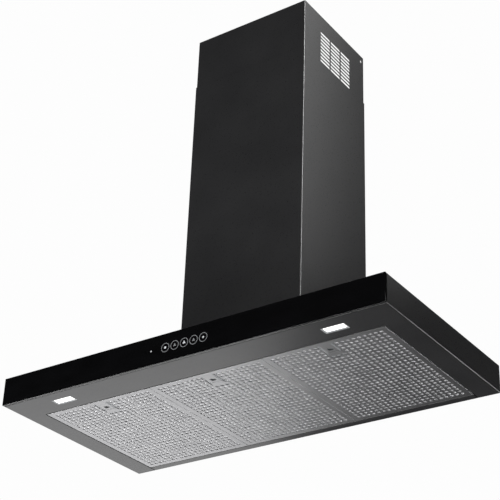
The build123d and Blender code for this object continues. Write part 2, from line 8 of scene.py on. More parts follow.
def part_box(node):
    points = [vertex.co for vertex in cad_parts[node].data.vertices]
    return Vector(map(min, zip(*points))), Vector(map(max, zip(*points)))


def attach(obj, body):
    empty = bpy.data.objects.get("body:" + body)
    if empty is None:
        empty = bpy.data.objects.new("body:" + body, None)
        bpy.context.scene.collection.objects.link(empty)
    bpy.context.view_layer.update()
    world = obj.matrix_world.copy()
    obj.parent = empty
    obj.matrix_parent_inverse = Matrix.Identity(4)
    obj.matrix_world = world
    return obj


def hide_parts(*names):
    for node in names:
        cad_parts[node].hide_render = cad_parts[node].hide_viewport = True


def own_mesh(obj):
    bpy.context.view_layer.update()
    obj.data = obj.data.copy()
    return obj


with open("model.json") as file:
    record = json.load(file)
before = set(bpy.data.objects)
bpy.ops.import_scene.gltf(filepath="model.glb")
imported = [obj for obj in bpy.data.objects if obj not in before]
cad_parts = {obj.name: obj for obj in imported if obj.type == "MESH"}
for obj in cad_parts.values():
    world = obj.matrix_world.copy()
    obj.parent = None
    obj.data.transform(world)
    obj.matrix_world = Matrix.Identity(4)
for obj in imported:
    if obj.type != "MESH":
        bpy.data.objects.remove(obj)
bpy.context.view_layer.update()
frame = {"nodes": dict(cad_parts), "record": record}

# A wall-mounted chimney hood, in metres. The wall is the plane y = 0, the front faces -Y, +Z is up and
# the canopy's underside is z = 0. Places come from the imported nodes, and the sizes below are the
# sheet work's own.

# sheet work
SHEET = 0.0008
COVER_BEND = 0.003
COVER_RETURN = 0.005
COVER_RIM = 0.00035
CANOPY_FOLD, CANOPY_TURN_IN = 0.002, 0.0022
PANEL_FOLD, PANEL_FLANGE = 0.0008, 0.010
SEAM = 0.00015
WALL_HOLE_X, WALL_HOLE_Z, WALL_HOLE_R = 0.16, 0.038, 0.004
INTAKE_LOW, INTAKE_HIGH = (-0.105, -0.220), (0.105, -0.030)
BOARD_WINDOW_MARGIN, LAMP_WINDOW_MARGIN = 0.001, 0.0001
FIELD_GAP, FRONT_GAP = 0.0020, 0.0028

# perforated filter faces
HOLE_PITCH = 0.01175
HOLE_SIDE = 0.0079
HOLE_CORNER = 0.0024
HOLE_COLUMNS, HOLE_ROWS = 21, 28
LATCH_COLUMNS, LATCH_ROWS = 3, 4
FACE_FOLD = 0.0003
WINDOW_HALF_X, WINDOW_FRONT, WINDOW_BACK = 0.012, -0.356, -0.324

# expanded mesh inside the filters
DIAMOND_LONG, DIAMOND_SHORT = 0.0105, 0.0056
CRIMP_PITCH, CRIMP_HEIGHT = 0.0125, 0.0005
MESH_LAYERS = (("fine", 0.0012, 0.0012, 0.0), ("coarse", 0.0022, 0.0026, 0.5))

# filter backs
BACK_PITCH, BACK_HOLE, BACK_COLUMNS, BACK_ROWS = 0.0235, 0.0195, 10, 14
HOOK_X, HOOK_HALF, HOOK_SHEET = 0.080, 0.015, 0.001

# latch pockets, bolts and springs
FINGER_HALF_X, FINGER_FRONT, FINGER_BACK = 0.0055, -0.3405, -0.3310
LATCH_GAP, BOLT_T, BOLT_GAP = 0.0003, 0.002, 0.0005
SPRING_WIRE, SPRING_TURNS, SPRING_KEEP = 0.0005, 12, 0.725

# vent slots and screw hole in the upper cover
VENT_COLUMNS, VENT_ROWS = 3, 9
VENT_LENGTH, VENT_HEIGHT = 0.040, 0.006
VENT_PITCH_Y, VENT_PITCH_Z = 0.0433, 0.00958
VENT_MID_Y, VENT_DROP = -0.127, 0.0476
SIDE_HOLE_R, SIDE_HOLE_Y, SIDE_HOLE_DROP = 0.00325, -0.012, 0.0158

# screws and motor
THREAD_PITCH = 0.0008
FIN_DEPTH, FIN_COUNT, CAP_T, SHAFT_HOLE_R = 0.003, 28, 0.004, 0.0041

# lamps and glass
LAMP_BEZEL, LAMP_RECESS, GLASS_EDGE = 0.0034, 0.0020, 0.0010

# light that the floor sends back up
FLOOR_Z, FLOOR_GLOW = -4.2, 0.34

# touch keys printed on the glass
KEY_FIRST, KEY_PITCH, KEY_COUNT, KEY_RING_R, KEY_LINE = 0.0521, 0.02235, 5, 0.0095, 0.0011
FAN_R, DOT_R = 0.0034, 0.0026
PRINT_T = 0.00006


# ---------------------------------------------------------------- modelling helpers

def put_all_down():
    """Leaves edit mode and deselects everything."""
    if bpy.context.object and bpy.context.object.mode != "OBJECT":
        bpy.ops.object.mode_set(mode="OBJECT")
    bpy.ops.object.select_all(action="DESELECT")


def take(piece):
    """Makes a piece the only selected and active one."""
    put_all_down()
    piece.select_set(True)
    bpy.context.view_layer.objects.active = piece


def keep_place_in_mesh(piece):
    """Moves a piece's place, turn and size into its mesh, so the piece itself stays at the origin."""
    take(piece)
    bpy.ops.object.transform_apply(location=True, rotation=True, scale=True)


def name_it(piece, name):
    piece.name = piece.data.name = name
    return piece


def block(name, low, high):
    """A block between two corners."""
    put_all_down()
    low, high = Vector(low), Vector(high)
    bpy.ops.mesh.primitive_cube_add(size=1, location=(low + high) / 2)
    piece = name_it(bpy.context.object, name)
    piece.scale = high - low
    keep_place_in_mesh(piece)
    return piece


def grid(name, low, high, z, columns=1, rows=1):
    """A flat sheet at height z, divided in columns and rows."""
    put_all_down()
    bpy.ops.mesh.primitive_grid_add(x_subdivisions=columns, y_subdivisions=rows, size=1,
                                    location=((low[0] + high[0]) / 2, (low[1] + high[1]) / 2, z))
    piece = name_it(bpy.context.object, name)
    piece.scale = (high[0] - low[0], high[1] - low[1], 1)
    keep_place_in_mesh(piece)
    return piece


def rod(name, radius, start, end, sides=32):
    """A round bar from start to end, along X, Y or Z."""
    put_all_down()
    start, end = Vector(start), Vector(end)
    run = end - start
    quarter = math.pi / 2
    turn = (0, quarter, 0) if abs(run.x) > 0 else (quarter, 0, 0) if abs(run.y) > 0 else (0, 0, 0)
    bpy.ops.mesh.primitive_cylinder_add(vertices=sides, radius=radius, depth=run.length,
                                        location=(start + end) / 2, rotation=turn)
    piece = name_it(bpy.context.object, name)
    keep_place_in_mesh(piece)
    return piece


def pick(piece, kind, test):
    """Goes to edit mode with the faces, edges or points selected that pass the test."""
    take(piece)
    bpy.ops.object.mode_set(mode="EDIT")
    bpy.ops.mesh.select_mode(type=kind)
    bpy.ops.mesh.select_all(action="DESELECT")
    bpy.ops.object.mode_set(mode="OBJECT")
    points = piece.data.vertices
    if kind == "FACE":
        for face in piece.data.polygons:
            face.select = test(face.center, face.normal)
    elif kind == "EDGE":
        for edge in piece.data.edges:
            a, b = points[edge.vertices[0]].co, points[edge.vertices[1]].co
            edge.select = test(a, b)
    else:
        for point in points:
            point.select = test(point.co)
    bpy.ops.object.mode_set(mode="EDIT")


def done():
    """Leaves edit mode."""
    bpy.ops.object.mode_set(mode="OBJECT")


def remove_faces(piece, test):
    pick(piece, "FACE", test)
    bpy.ops.mesh.delete(type="FACE")
    done()


def round_edges(piece, test, radius, segments=3):
    """Rounds the edges that pass the test."""
    pick(piece, "EDGE", test)
    bpy.ops.mesh.bevel(offset=radius, segments=segments, affect="EDGES")
    done()


def fold_out(piece, test, step):
    """Extrudes the sheet's edges that pass the test by a step."""
    pick(piece, "EDGE", test)
    bpy.ops.mesh.extrude_edges_move(TRANSFORM_OT_translate={"value": step})
    done()


def modify(piece, kind, **settings):
    """Adds a modifier with its settings and applies it."""
    take(piece)
    modifier = piece.modifiers.new(kind.lower(), kind)
    for key, value in settings.items():
        setattr(modifier, key, value)
    bpy.ops.object.modifier_apply(modifier=modifier.name)


def thicken(piece, thickness, inward=True):
    """Gives a folded sheet its wall, behind its faces or in front of them."""
    modify(piece, "SOLIDIFY", thickness=thickness, offset=-1 if inward else 1, use_even_offset=True)


def smooth(piece, degrees=35):
    """Smooth shading across small angles, with the large flat faces kept flat."""
    take(piece)
    bpy.ops.object.shade_smooth_by_angle(angle=math.radians(degrees))
    modify(piece, "WEIGHTED_NORMAL", keep_sharp=True)


def cut(piece, *cutters):
    """Cuts the cutters' shapes out of a piece."""
    tool = join("cutter", *cutters)
    modify(piece, "BOOLEAN", operation="DIFFERENCE", solver="EXACT", object=tool)
    bpy.data.objects.remove(tool)


def join(name, *pieces):
    """Joins pieces into one, under a new name."""
    put_all_down()
    for piece in pieces:
        piece.select_set(True)
    bpy.context.view_layer.objects.active = pieces[0]
    if len(pieces) > 1:
        bpy.ops.object.join()
    return name_it(bpy.context.object, name)


def copy_at(piece, offset):
    """A copy with its own mesh, moved by an offset."""
    twin = piece.copy()
    twin.data = piece.data.copy()
    bpy.context.scene.collection.objects.link(twin)
    twin.location = offset
    keep_place_in_mesh(twin)
    return twin


def cut_window(piece, inside, low, high):
    """Opens a rectangular window in the flat faces that `inside` picks; low and high are its corners."""
    pick(piece, "FACE", inside)
    bpy.ops.mesh.dissolve_faces()
    bpy.ops.mesh.inset(thickness=0.0001)
    done()
    face = next(f for f in piece.data.polygons if f.select)
    corners = [piece.data.vertices[i].co.copy() for i in face.vertices]
    was_low = Vector([min(c[i] for c in corners) for i in range(3)])
    was_high = Vector([max(c[i] for c in corners) for i in range(3)])
    low, high = Vector(low), Vector(high)
    stretch = [(high[i] - low[i]) / (was_high[i] - was_low[i]) if was_high[i] - was_low[i] > 1e-6 else 1
               for i in range(3)]
    shift = [(low[i] + high[i] - was_low[i] - was_high[i]) / 2 if was_high[i] - was_low[i] > 1e-6 else 0
             for i in range(3)]
    bpy.ops.object.mode_set(mode="EDIT")
    bpy.ops.transform.resize(value=stretch, center_override=(was_low + was_high) / 2)
    bpy.ops.transform.translate(value=shift)
    bpy.ops.mesh.delete(type="FACE")
    done()


def near(a, b, slack=0.00002):
    """True for two measures that are the same within a hundredth of a millimetre or two."""
    return abs(a - b) < slack


def level(a, b, z):
    """True for an edge that lies flat at height z."""
    return near(a.z, z) and near(b.z, z)


def on_outline(a, b, low, high):
    """True for an edge along one side of the rectangle from low to high, seen from above."""
    along_y = near(a.x, b.x) and (near(a.x, low.x) or near(a.x, high.x))
    along_x = near(a.y, b.y) and (near(a.y, low.y) or near(a.y, high.y))
    return along_y or along_x


def soften(piece, width, degrees=40):
    """Rounds every sharp edge of a small piece."""
    modify(piece, "BEVEL", width=width, segments=2, limit_method="ANGLE", angle_limit=math.radians(degrees))


# ---------------------------------------------------------------- materials

def new_material(name):
    material = bpy.data.materials.new(name)
    material.use_nodes = True
    shader = material.node_tree.nodes["Principled BSDF"]
    return material, material.node_tree, shader


def surface_noise(tree, scale, detail=3.0, stretch=(1, 1, 1)):
    """Noise that lies on the piece itself; scale counts features in a metre."""
    place = tree.nodes.new("ShaderNodeTexCoord")
    mapping = tree.nodes.new("ShaderNodeMapping")
    mapping.inputs["Scale"].default_value = stretch
    noise = tree.nodes.new("ShaderNodeTexNoise")
    noise.inputs["Scale"].default_value = scale
    noise.inputs["Detail"].default_value = detail
    tree.links.new(place.outputs["Object"], mapping.inputs["Vector"])
    tree.links.new(mapping.outputs["Vector"], noise.inputs["Vector"])
    return noise.outputs["Fac"]


def spread(tree, value, low, high, low_out, high_out):
    """Maps a value from one range to another."""
    node = tree.nodes.new("ShaderNodeMapRange")
    for key, number in zip(("From Min", "From Max", "To Min", "To Max"), (low, high, low_out, high_out)):
        node.inputs[key].default_value = number
    tree.links.new(value, node.inputs["Value"])
    return node.outputs["Result"]


def tint(tree, value, dark, light):
    """Mixes two close colours by a value."""
    ramp = tree.nodes.new("ShaderNodeValToRGB")
    ramp.color_ramp.elements[0].color = (*dark, 1)
    ramp.color_ramp.elements[1].color = (*light, 1)
    ramp.color_ramp.elements[0].position = 0.3
    ramp.color_ramp.elements[1].position = 0.7
    tree.links.new(value, ramp.inputs["Fac"])
    return ramp.outputs["Color"]


def raise_grain(tree, shader, value, strength, depth):
    """Lifts the surface's grain by a value."""
    bump = tree.nodes.new("ShaderNodeBump")
    bump.inputs["Strength"].default_value = strength
    bump.inputs["Distance"].default_value = depth
    tree.links.new(value, bump.inputs["Height"])
    tree.links.new(bump.outputs["Normal"], shader.inputs["Normal"])


def grained(name, dark, light, rough, metallic=0.0, patch=9, grain=900, strength=0.2, depth=0.0001,
            stretch=(1, 1, 1)):
    """A finish with slow patches in its colour and gloss and a fine grain that lifts the surface."""
    material, tree, shader = new_material(name)
    shader.inputs["Metallic"].default_value = metallic
    patches = surface_noise(tree, patch, 4)
    fine = surface_noise(tree, grain, 2, stretch)
    tree.links.new(tint(tree, patches, dark, light), shader.inputs["Base Color"])
    tree.links.new(spread(tree, fine, 0.3, 0.7, rough[0], rough[1]), shader.inputs["Roughness"])
    raise_grain(tree, shader, fine, strength, depth)
    return material


def satin_enamel():
    """Baked black enamel with a fine orange-peel grain."""
    return grained("satin_black_enamel", (0.018, 0.018, 0.019), (0.024, 0.024, 0.025), (0.27, 0.35),
                   grain=520, strength=0.12, depth=0.00006)


def black_glass():
    """Glass painted black on its back, with faint wiping marks in its gloss."""
    material, tree, shader = new_material("back_painted_glass")
    wiped = surface_noise(tree, 14, 5, (1, 1, 3))
    shader.inputs["IOR"].default_value = 1.5
    tree.links.new(tint(tree, wiped, (0.001, 0.001, 0.0012), (0.002, 0.002, 0.0024)),
                   shader.inputs["Base Color"])
    tree.links.new(spread(tree, wiped, 0.35, 0.65, 0.02, 0.06), shader.inputs["Roughness"])
    return material


def perforated_steel():
    """Brushed satin steel of the filters."""
    return grained("satin_filter_steel", (0.44, 0.44, 0.45), (0.51, 0.51, 0.52), (0.36, 0.47),
                   metallic=1.0, patch=11, grain=260, strength=0.1, depth=0.00003, stretch=(1, 14, 1))


def mesh_aluminium():
    """Bright, slightly frosted aluminium of the filter mesh."""
    return grained("crimped_aluminium", (0.82, 0.82, 0.83), (0.92, 0.92, 0.93), (0.45, 0.6),
                   metallic=0.2, patch=160, grain=900, strength=0.25, depth=0.00005)


def galvanised():
    """Zinc with its crystal spangle."""
    material, tree, shader = new_material("galvanised_sheet")
    place = tree.nodes.new("ShaderNodeTexCoord")
    spangle = tree.nodes.new("ShaderNodeTexVoronoi")
    spangle.inputs["Scale"].default_value = 130
    tree.links.new(place.outputs["Object"], spangle.inputs["Vector"])
    grey = tree.nodes.new("ShaderNodeSeparateColor")
    tree.links.new(spangle.outputs["Color"], grey.inputs["Color"])
    shader.inputs["Metallic"].default_value = 1.0
    tree.links.new(tint(tree, grey.outputs["Red"], (0.47, 0.48, 0.50), (0.55, 0.56, 0.58)),
                   shader.inputs["Base Color"])
    tree.links.new(spread(tree, grey.outputs["Green"], 0, 1, 0.52, 0.68), shader.inputs["Roughness"])
    raise_grain(tree, shader, surface_noise(tree, 45, 3), 0.15, 0.0003)
    return material


def circuit_green():
    """Solder resist over copper tracks."""
    material, tree, shader = new_material("solder_resist")
    place = tree.nodes.new("ShaderNodeTexCoord")
    tracks = tree.nodes.new("ShaderNodeTexBrick")
    tracks.inputs["Scale"].default_value = 90
    tracks.inputs["Color1"].default_value = (0.012, 0.10, 0.04, 1)
    tracks.inputs["Color2"].default_value = (0.010, 0.08, 0.035, 1)
    tracks.inputs["Mortar"].default_value = (0.05, 0.24, 0.09, 1)
    tracks.inputs["Mortar Size"].default_value = 0.03
    tree.links.new(place.outputs["Object"], tracks.inputs["Vector"])
    tree.links.new(tracks.outputs["Color"], shader.inputs["Base Color"])
    tree.links.new(spread(tree, surface_noise(tree, 300), 0.3, 0.7, 0.25, 0.4), shader.inputs["Roughness"])
    return material


def lit(name, color, strength, frost=700):
    """A frosted, lit plastic."""
    material, tree, shader = new_material(name)
    frosting = surface_noise(tree, frost, 2)
    shader.inputs["Base Color"].default_value = (*color, 1)
    shader.inputs["Emission Color"].default_value = (*color, 1)
    tree.links.new(spread(tree, frosting, 0.2, 0.8, strength * 0.85, strength * 1.15),
                   shader.inputs["Emission Strength"])
    tree.links.new(spread(tree, frosting, 0.3, 0.7, 0.3, 0.5), shader.inputs["Roughness"])
    raise_grain(tree, shader, frosting, 0.2, 0.0001)
    return material


FINISH = {
    "black_paint": satin_enamel(),
    "black_glass": black_glass(),
    "filter_steel": perforated_steel(),
    "mesh_aluminium": mesh_aluminium(),
    "zinc_steel": galvanised(),
    "black_plastic": grained("moulded_black", (0.018, 0.018, 0.019), (0.026, 0.026, 0.027), (0.42, 0.6)),
    "grey_plastic": grained("moulded_grey", (0.30, 0.31, 0.32), (0.36, 0.37, 0.38), (0.4, 0.55)),
    "white_plastic": grained("moulded_white", (0.78, 0.78, 0.75), (0.84, 0.84, 0.82), (0.3, 0.45)),
    "lamp_lens": lit("frosted_lamp_lens", (1.0, 0.99, 0.97), 4.0),
    "indicator_lens": lit("indicator_light", (0.9, 0.92, 1.0), 1.2, 2500),
    "rubber": grained("matt_rubber", (0.02, 0.02, 0.02), (0.03, 0.03, 0.03), (0.7, 0.85)),
    "screw_steel": grained("zinc_plated_steel", (0.55, 0.55, 0.57), (0.66, 0.66, 0.68), (0.2, 0.34),
                           metallic=1.0, patch=300, grain=2500),
    "circuit_board": circuit_green(),
    "motor_paint": grained("motor_enamel", (0.19, 0.20, 0.22), (0.24, 0.25, 0.27), (0.35, 0.5), grain=600),
}
LENS_RIM = lit("lamp_lens_rim", (1.0, 0.99, 0.97), 0.55)


def dress_nodes():
    """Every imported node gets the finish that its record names."""
    for entry in frame["record"]["subparts"]:
        node = frame["nodes"][entry["node"]]
        for material_slot in node.material_slots:
            material_slot.material = FINISH[entry["material_slot"]]


def place(piece, body, slot, *replaced, material=None):
    """Gives a finished piece its finish, its body and the nodes that it stands for."""
    take(piece)
    piece.data.materials.clear()
    piece.data.materials.append(material or FINISH[slot])
    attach(piece, body)
    if replaced:
        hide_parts(*replaced)
    return piece


# ---------------------------------------------------------------- filters

def add_border(sheet, half_x, half_y, low, high):
    """Extrudes the rim of a field of cells, half_x by half_y round its middle, out to low and high."""
    mid_x, mid_y = (low.x + high.x) / 2, (low.y + high.y) / 2

    def rim(a, b):
        on_side = near(a.x, b.x) and near(abs(a.x - mid_x), half_x)
        on_end = near(a.y, b.y) and near(abs(a.y - mid_y), half_y)
        return on_side or on_end

    pick(sheet, "EDGE", rim)
    bpy.ops.mesh.extrude_edges_move()
    grow = ((high.x - low.x) / 2 / half_x, (high.y - low.y) / 2 / half_y, 1)
    bpy.ops.transform.resize(value=grow, center_override=(mid_x, mid_y, 0))


def filter_face(side):
    """The folded, perforated tray of one filter."""
    low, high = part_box(f"filter_{side}_tray")
    mid_x, mid_y = (low.x + high.x) / 2, (low.y + high.y) / 2
    half_x, half_y = HOLE_COLUMNS * HOLE_PITCH / 2, HOLE_ROWS * HOLE_PITCH / 2
    face = grid(f"filter_{side}_face", (mid_x - half_x, mid_y - half_y), (mid_x + half_x, mid_y + half_y),
                low.z, HOLE_COLUMNS, HOLE_ROWS)
    add_border(face, half_x, half_y, low, high)
    bpy.ops.mesh.extrude_edges_move(TRANSFORM_OT_translate={"value": (0, 0, high.z - low.z)})
    done()
    latch_x, latch_y = LATCH_COLUMNS * HOLE_PITCH / 2, mid_y - half_y + LATCH_ROWS * HOLE_PITCH
    cut_window(face, lambda c, n: abs(c.x - mid_x) < latch_x and mid_y - half_y < c.y < latch_y
               and near(c.z, low.z),
               (mid_x - WINDOW_HALF_X, WINDOW_FRONT, low.z), (mid_x + WINDOW_HALF_X, WINDOW_BACK, low.z))
    bolt_low, bolt_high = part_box(f"filter_{side}_latch")
    cut_window(face, lambda c, n: abs(c.x - mid_x) < latch_x and near(c.y, low.y) and c.z > low.z + SHEET,
               (bolt_low.x - BOLT_GAP, low.y, bolt_high.z - BOLT_T - BOLT_GAP),
               (bolt_high.x + BOLT_GAP, low.y, bolt_high.z + BOLT_GAP))
    round_edges(face, lambda a, b: level(a, b, low.z) and on_outline(a, b, low, high), FACE_FOLD)
    in_cells = lambda c: abs(c.x - mid_x) < half_x and abs(c.y - mid_y) < half_y and near(c.z, low.z)
    pick(face, "FACE", lambda c, n: in_cells(c) and not (abs(c.x - mid_x) < latch_x and c.y < latch_y))
    bpy.ops.mesh.inset(thickness=(HOLE_PITCH - HOLE_SIDE) / 2, use_individual=True)
    bpy.ops.mesh.bevel(offset=HOLE_CORNER, segments=2, affect="VERTICES")
    done()
    remove_holes(face, low.z)
    thicken(face, SHEET, inward=False)
    smooth(face)
    return place(face, f"filter_{side}", "filter_steel", f"filter_{side}_tray")


def remove_holes(face, z):
    """Deletes the many-sided middles that the rounded cells leave."""
    take(face)
    bpy.ops.object.mode_set(mode="EDIT")
    bpy.ops.mesh.select_mode(type="FACE")
    bpy.ops.mesh.select_all(action="DESELECT")
    done()
    hole_area = HOLE_SIDE * HOLE_SIDE
    for polygon in face.data.polygons:
        polygon.select = near(polygon.center.z, z) and 0.7 * hole_area < polygon.area < hole_area
    bpy.ops.object.mode_set(mode="EDIT")
    bpy.ops.mesh.delete(type="FACE")
    done()


def filter_mesh(side):
    """Crimped expanded aluminium in two layers behind the perforated face."""
    low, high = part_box(f"filter_{side}_mesh")
    face_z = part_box(f"filter_{side}_tray")[0].z
    pocket_low, pocket_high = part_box(f"filter_{side}_latch_pocket")
    for name, strand, lift, turn in MESH_LAYERS:
        mesh = diamond_net(f"filter_{side}_{name}_mesh", low, high, face_z + SHEET + lift)
        remove_faces(mesh, lambda c, n: pocket_low.x - 0.004 < c.x < pocket_high.x + 0.004
                     and c.y < pocket_high.y + 0.003)
        modify(mesh, "WIREFRAME", thickness=strand, use_even_offset=False)
        for point in mesh.data.vertices:
            along = (point.co.x + (0.35 - turn) * point.co.y) / CRIMP_PITCH
            point.co.z += CRIMP_HEIGHT * math.sin((along + turn) * math.tau)
        place(mesh, f"filter_{side}", "mesh_aluminium", f"filter_{side}_mesh")


def diamond_net(name, low, high, z):
    """A flat net of long diamonds, trimmed to the space between low and high."""
    mid = Vector(((low.x + high.x) / 2, (low.y + high.y) / 2, z))
    count = int((high.x - low.x) / DIAMOND_LONG + (high.y - low.y) / DIAMOND_SHORT) + 4
    half = count / math.sqrt(2) / 2
    net = grid(name, (mid.x - half, mid.y - half), (mid.x + half, mid.y + half), z, count, count)
    take(net)
    bpy.ops.object.mode_set(mode="EDIT")
    bpy.ops.mesh.select_all(action="SELECT")
    bpy.ops.transform.rotate(value=math.pi / 4, orient_axis="Z", center_override=mid)
    bpy.ops.transform.resize(value=(DIAMOND_LONG, DIAMOND_SHORT, 1), center_override=mid)
    for point, normal in (((low.x, 0, 0), (-1, 0, 0)), ((high.x, 0, 0), (1, 0, 0)),
                          ((0, low.y, 0), (0, -1, 0)), ((0, high.y, 0), (0, 1, 0))):
        bpy.ops.mesh.select_all(action="SELECT")
        bpy.ops.mesh.bisect(plane_co=point, plane_no=normal, clear_outer=True)
    done()
    return net


def filter_back(side):
    """The back sheet with large square holes and two hooks that sit on the rear lip."""
    low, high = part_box(f"filter_{side}_back")
    tray_low, tray_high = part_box(f"filter_{side}_tray")
    mid_x, mid_y = (low.x + high.x) / 2, (tray_low.y + tray_high.y) / 2
    half_x, half_y = BACK_COLUMNS * BACK_PITCH / 2, BACK_ROWS * BACK_PITCH / 2
    sheet_z = tray_high.z
    sheet = grid(f"filter_{side}_back_sheet", (mid_x - half_x, mid_y - half_y),
                 (mid_x + half_x, mid_y + half_y), sheet_z, BACK_COLUMNS, BACK_ROWS)
    add_border(sheet, half_x, half_y, tray_low, tray_high)
    done()
    pocket_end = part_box(f"filter_{side}_latch_pocket")[1].y
    over_pocket = lambda c: abs(c.x - mid_x) < BACK_PITCH * 1.5 and c.y < pocket_end
    pick(sheet, "FACE", lambda c, n: abs(c.x - mid_x) < half_x and abs(c.y - mid_y) < half_y
         and not over_pocket(c))
    bpy.ops.mesh.inset(thickness=(BACK_PITCH - BACK_HOLE) / 2, use_individual=True)
    bpy.ops.mesh.delete(type="FACE")
    done()
    thicken(sheet, high.z - sheet_z, inward=False)
    hooks = []
    for x in (mid_x - HOOK_X, mid_x + HOOK_X):
        start = (x - HOOK_HALF, tray_high.y, low.z)
        hooks.append(block("hook", start, (x + HOOK_HALF, tray_high.y + HOOK_SHEET, high.z)))
        hooks.append(block("tongue", start, (x + HOOK_HALF, high.y, low.z + HOOK_SHEET)))
    for hook in hooks:
        soften(hook, 0.0003)
    back = join(f"filter_{side}_back_sheet", sheet, *hooks)
    smooth(back)
    return place(back, f"filter_{side}", "filter_steel", f"filter_{side}_back")


def latch_pocket(side):
    """Latch pocket: a steel floor set just above the face with a finger slot, and a grey plastic frame with
    low walls and a keeper bridge.
    """
    low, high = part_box(f"filter_{side}_latch_pocket")
    bolt_low, bolt_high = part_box(f"filter_{side}_latch")
    mid_x = (low.x + high.x) / 2
    window_low = (mid_x - WINDOW_HALF_X + LATCH_GAP, WINDOW_FRONT + LATCH_GAP)
    window_high = (mid_x + WINDOW_HALF_X - LATCH_GAP, WINDOW_BACK - LATCH_GAP)
    floor_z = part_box(f"filter_{side}_tray")[0].z + 0.0002
    floor = block(f"filter_{side}_latch_floor", (*window_low, floor_z), (*window_high, floor_z + 0.0012))
    finger = block("finger", (mid_x - FINGER_HALF_X, FINGER_FRONT, floor_z - 0.001),
                   (mid_x + FINGER_HALF_X, FINGER_BACK, floor_z + 0.003))
    round_edges(finger, lambda a, b: near(a.x, b.x) and near(a.y, b.y), 0.0015, 4)
    cut(floor, finger)
    soften(floor, 0.0002)
    smooth(floor)
    frame_piece = block(f"filter_{side}_latch_frame", low, high)
    channel = block("channel", (bolt_low.x - BOLT_GAP, low.y - 0.001, bolt_high.z - BOLT_T - BOLT_GAP),
                    (bolt_high.x + BOLT_GAP, high.y - 0.0012, bolt_high.z + BOLT_GAP))
    hollow = block("hollow", (mid_x - WINDOW_HALF_X, WINDOW_FRONT, low.z - 0.001),
                   (mid_x + WINDOW_HALF_X, WINDOW_BACK, bolt_high.z - BOLT_T))
    cut(frame_piece, channel, hollow)
    soften(frame_piece, 0.0004)
    smooth(frame_piece)
    place(frame_piece, f"filter_{side}", "grey_plastic", f"filter_{side}_latch_pocket")
    place(floor, f"filter_{side}", "filter_steel", f"filter_{side}_latch_pocket")


def latch_bolt(side):
    """The sliding bolt: a strip with a ramped nose and a ribbed finger lip bent down into the slot."""
    low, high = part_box(f"filter_{side}_latch")
    strip_low = high.z - BOLT_T
    strip = block(f"filter_{side}_latch_bolt", (low.x, low.y, strip_low), high)
    round_edges(strip, lambda a, b: near(a.y, low.y) and near(b.y, low.y) and near(a.z, b.z), 0.0008, 3)
    lip_y = (WINDOW_FRONT + WINDOW_BACK) / 2
    lip = block("lip", (low.x + 0.0003, lip_y, low.z + 0.0001),
                (high.x - 0.0003, lip_y + 0.0012, strip_low + 0.0004))
    ribs = []
    for i in range(3):
        rib_y, rib_z = lip_y - 0.0001, low.z + 0.0012 * (i + 1)
        ribs.append(rod("rib", 0.0004, (low.x + 0.001, rib_y, rib_z), (high.x - 0.001, rib_y, rib_z), 10))
    bolt = join(f"filter_{side}_latch_bolt", strip, lip, *ribs)
    soften(bolt, 0.0002, 60)
    smooth(bolt)
    return place(bolt, f"latch_{side}", "filter_steel", f"filter_{side}_latch")


def latch_spring(side):
    """A compression coil behind the bolt."""
    low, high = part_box(f"filter_{side}_latch_spring")
    middle = (low + high) / 2
    put_all_down()
    wire_r, coil_r = SPRING_WIRE / 2, (high.z - low.z) / 2 - SPRING_WIRE / 2
    bpy.ops.mesh.primitive_circle_add(vertices=8, radius=wire_r, fill_type="NOTHING", location=(coil_r, 0, 0))
    coil = name_it(bpy.context.object, f"filter_{side}_latch_coil")
    keep_place_in_mesh(coil)
    length = high.y - low.y - SPRING_WIRE
    modify(coil, "SCREW", axis="Y", angle=math.tau, screw_offset=length / SPRING_TURNS,
           iterations=SPRING_TURNS, steps=20, render_steps=20)
    coil.location = (middle.x, low.y + wire_r, middle.z)
    keep_place_in_mesh(coil)
    smooth(coil, 60)
    place(coil, f"filter_{side}", "screw_steel", f"filter_{side}_latch_spring")
    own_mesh(coil)
    return coil


# ---------------------------------------------------------------- canopy

def canopy_skin():
    """Folded sheet: top, sides, front and back walls, with their bottom edges turned in."""
    low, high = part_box("canopy_shell")
    skin = block("canopy_skin", low, high)
    remove_faces(skin, lambda c, n: n.z < -0.5)
    pick(skin, "EDGE", lambda a, b: level(a, b, low.z))
    bpy.ops.mesh.extrude_edges_move()
    size, turned = high - low, 2 * CANOPY_TURN_IN
    bpy.ops.transform.resize(value=((size.x - turned) / size.x, (size.y - turned) / size.y, 1),
                             center_override=((low.x + high.x) / 2, (low.y + high.y) / 2, low.z))
    done()
    round_edges(skin, lambda a, b: level(a, b, low.z) and on_outline(a, b, low, high), CANOPY_FOLD, 4)
    board_low, board_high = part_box("control_board")
    margin = BOARD_WINDOW_MARGIN
    cut_window(skin, lambda c, n: n.y < -0.5 and near(c.y, low.y) and c.z > low.z + 0.02,
               (board_low.x - margin, low.y, board_low.z - margin),
               (board_high.x + margin, low.y, board_high.z + margin))
    cut_window(skin, lambda c, n: n.z > 0.5, (*INTAKE_LOW, high.z), (*INTAKE_HIGH, high.z))
    round_edges(skin, lambda a, b: level(a, b, high.z) and on_outline(a, b, low, high), CANOPY_FOLD, 3)
    thicken(skin, SHEET)
    holes = [rod("hole", WALL_HOLE_R, (x, -0.01, WALL_HOLE_Z), (x, 0.01, WALL_HOLE_Z))
             for x in (-WALL_HOLE_X, WALL_HOLE_X)]
    cut(skin, *holes)
    smooth(skin)
    return place(skin, "canopy", "black_paint", "canopy_shell")


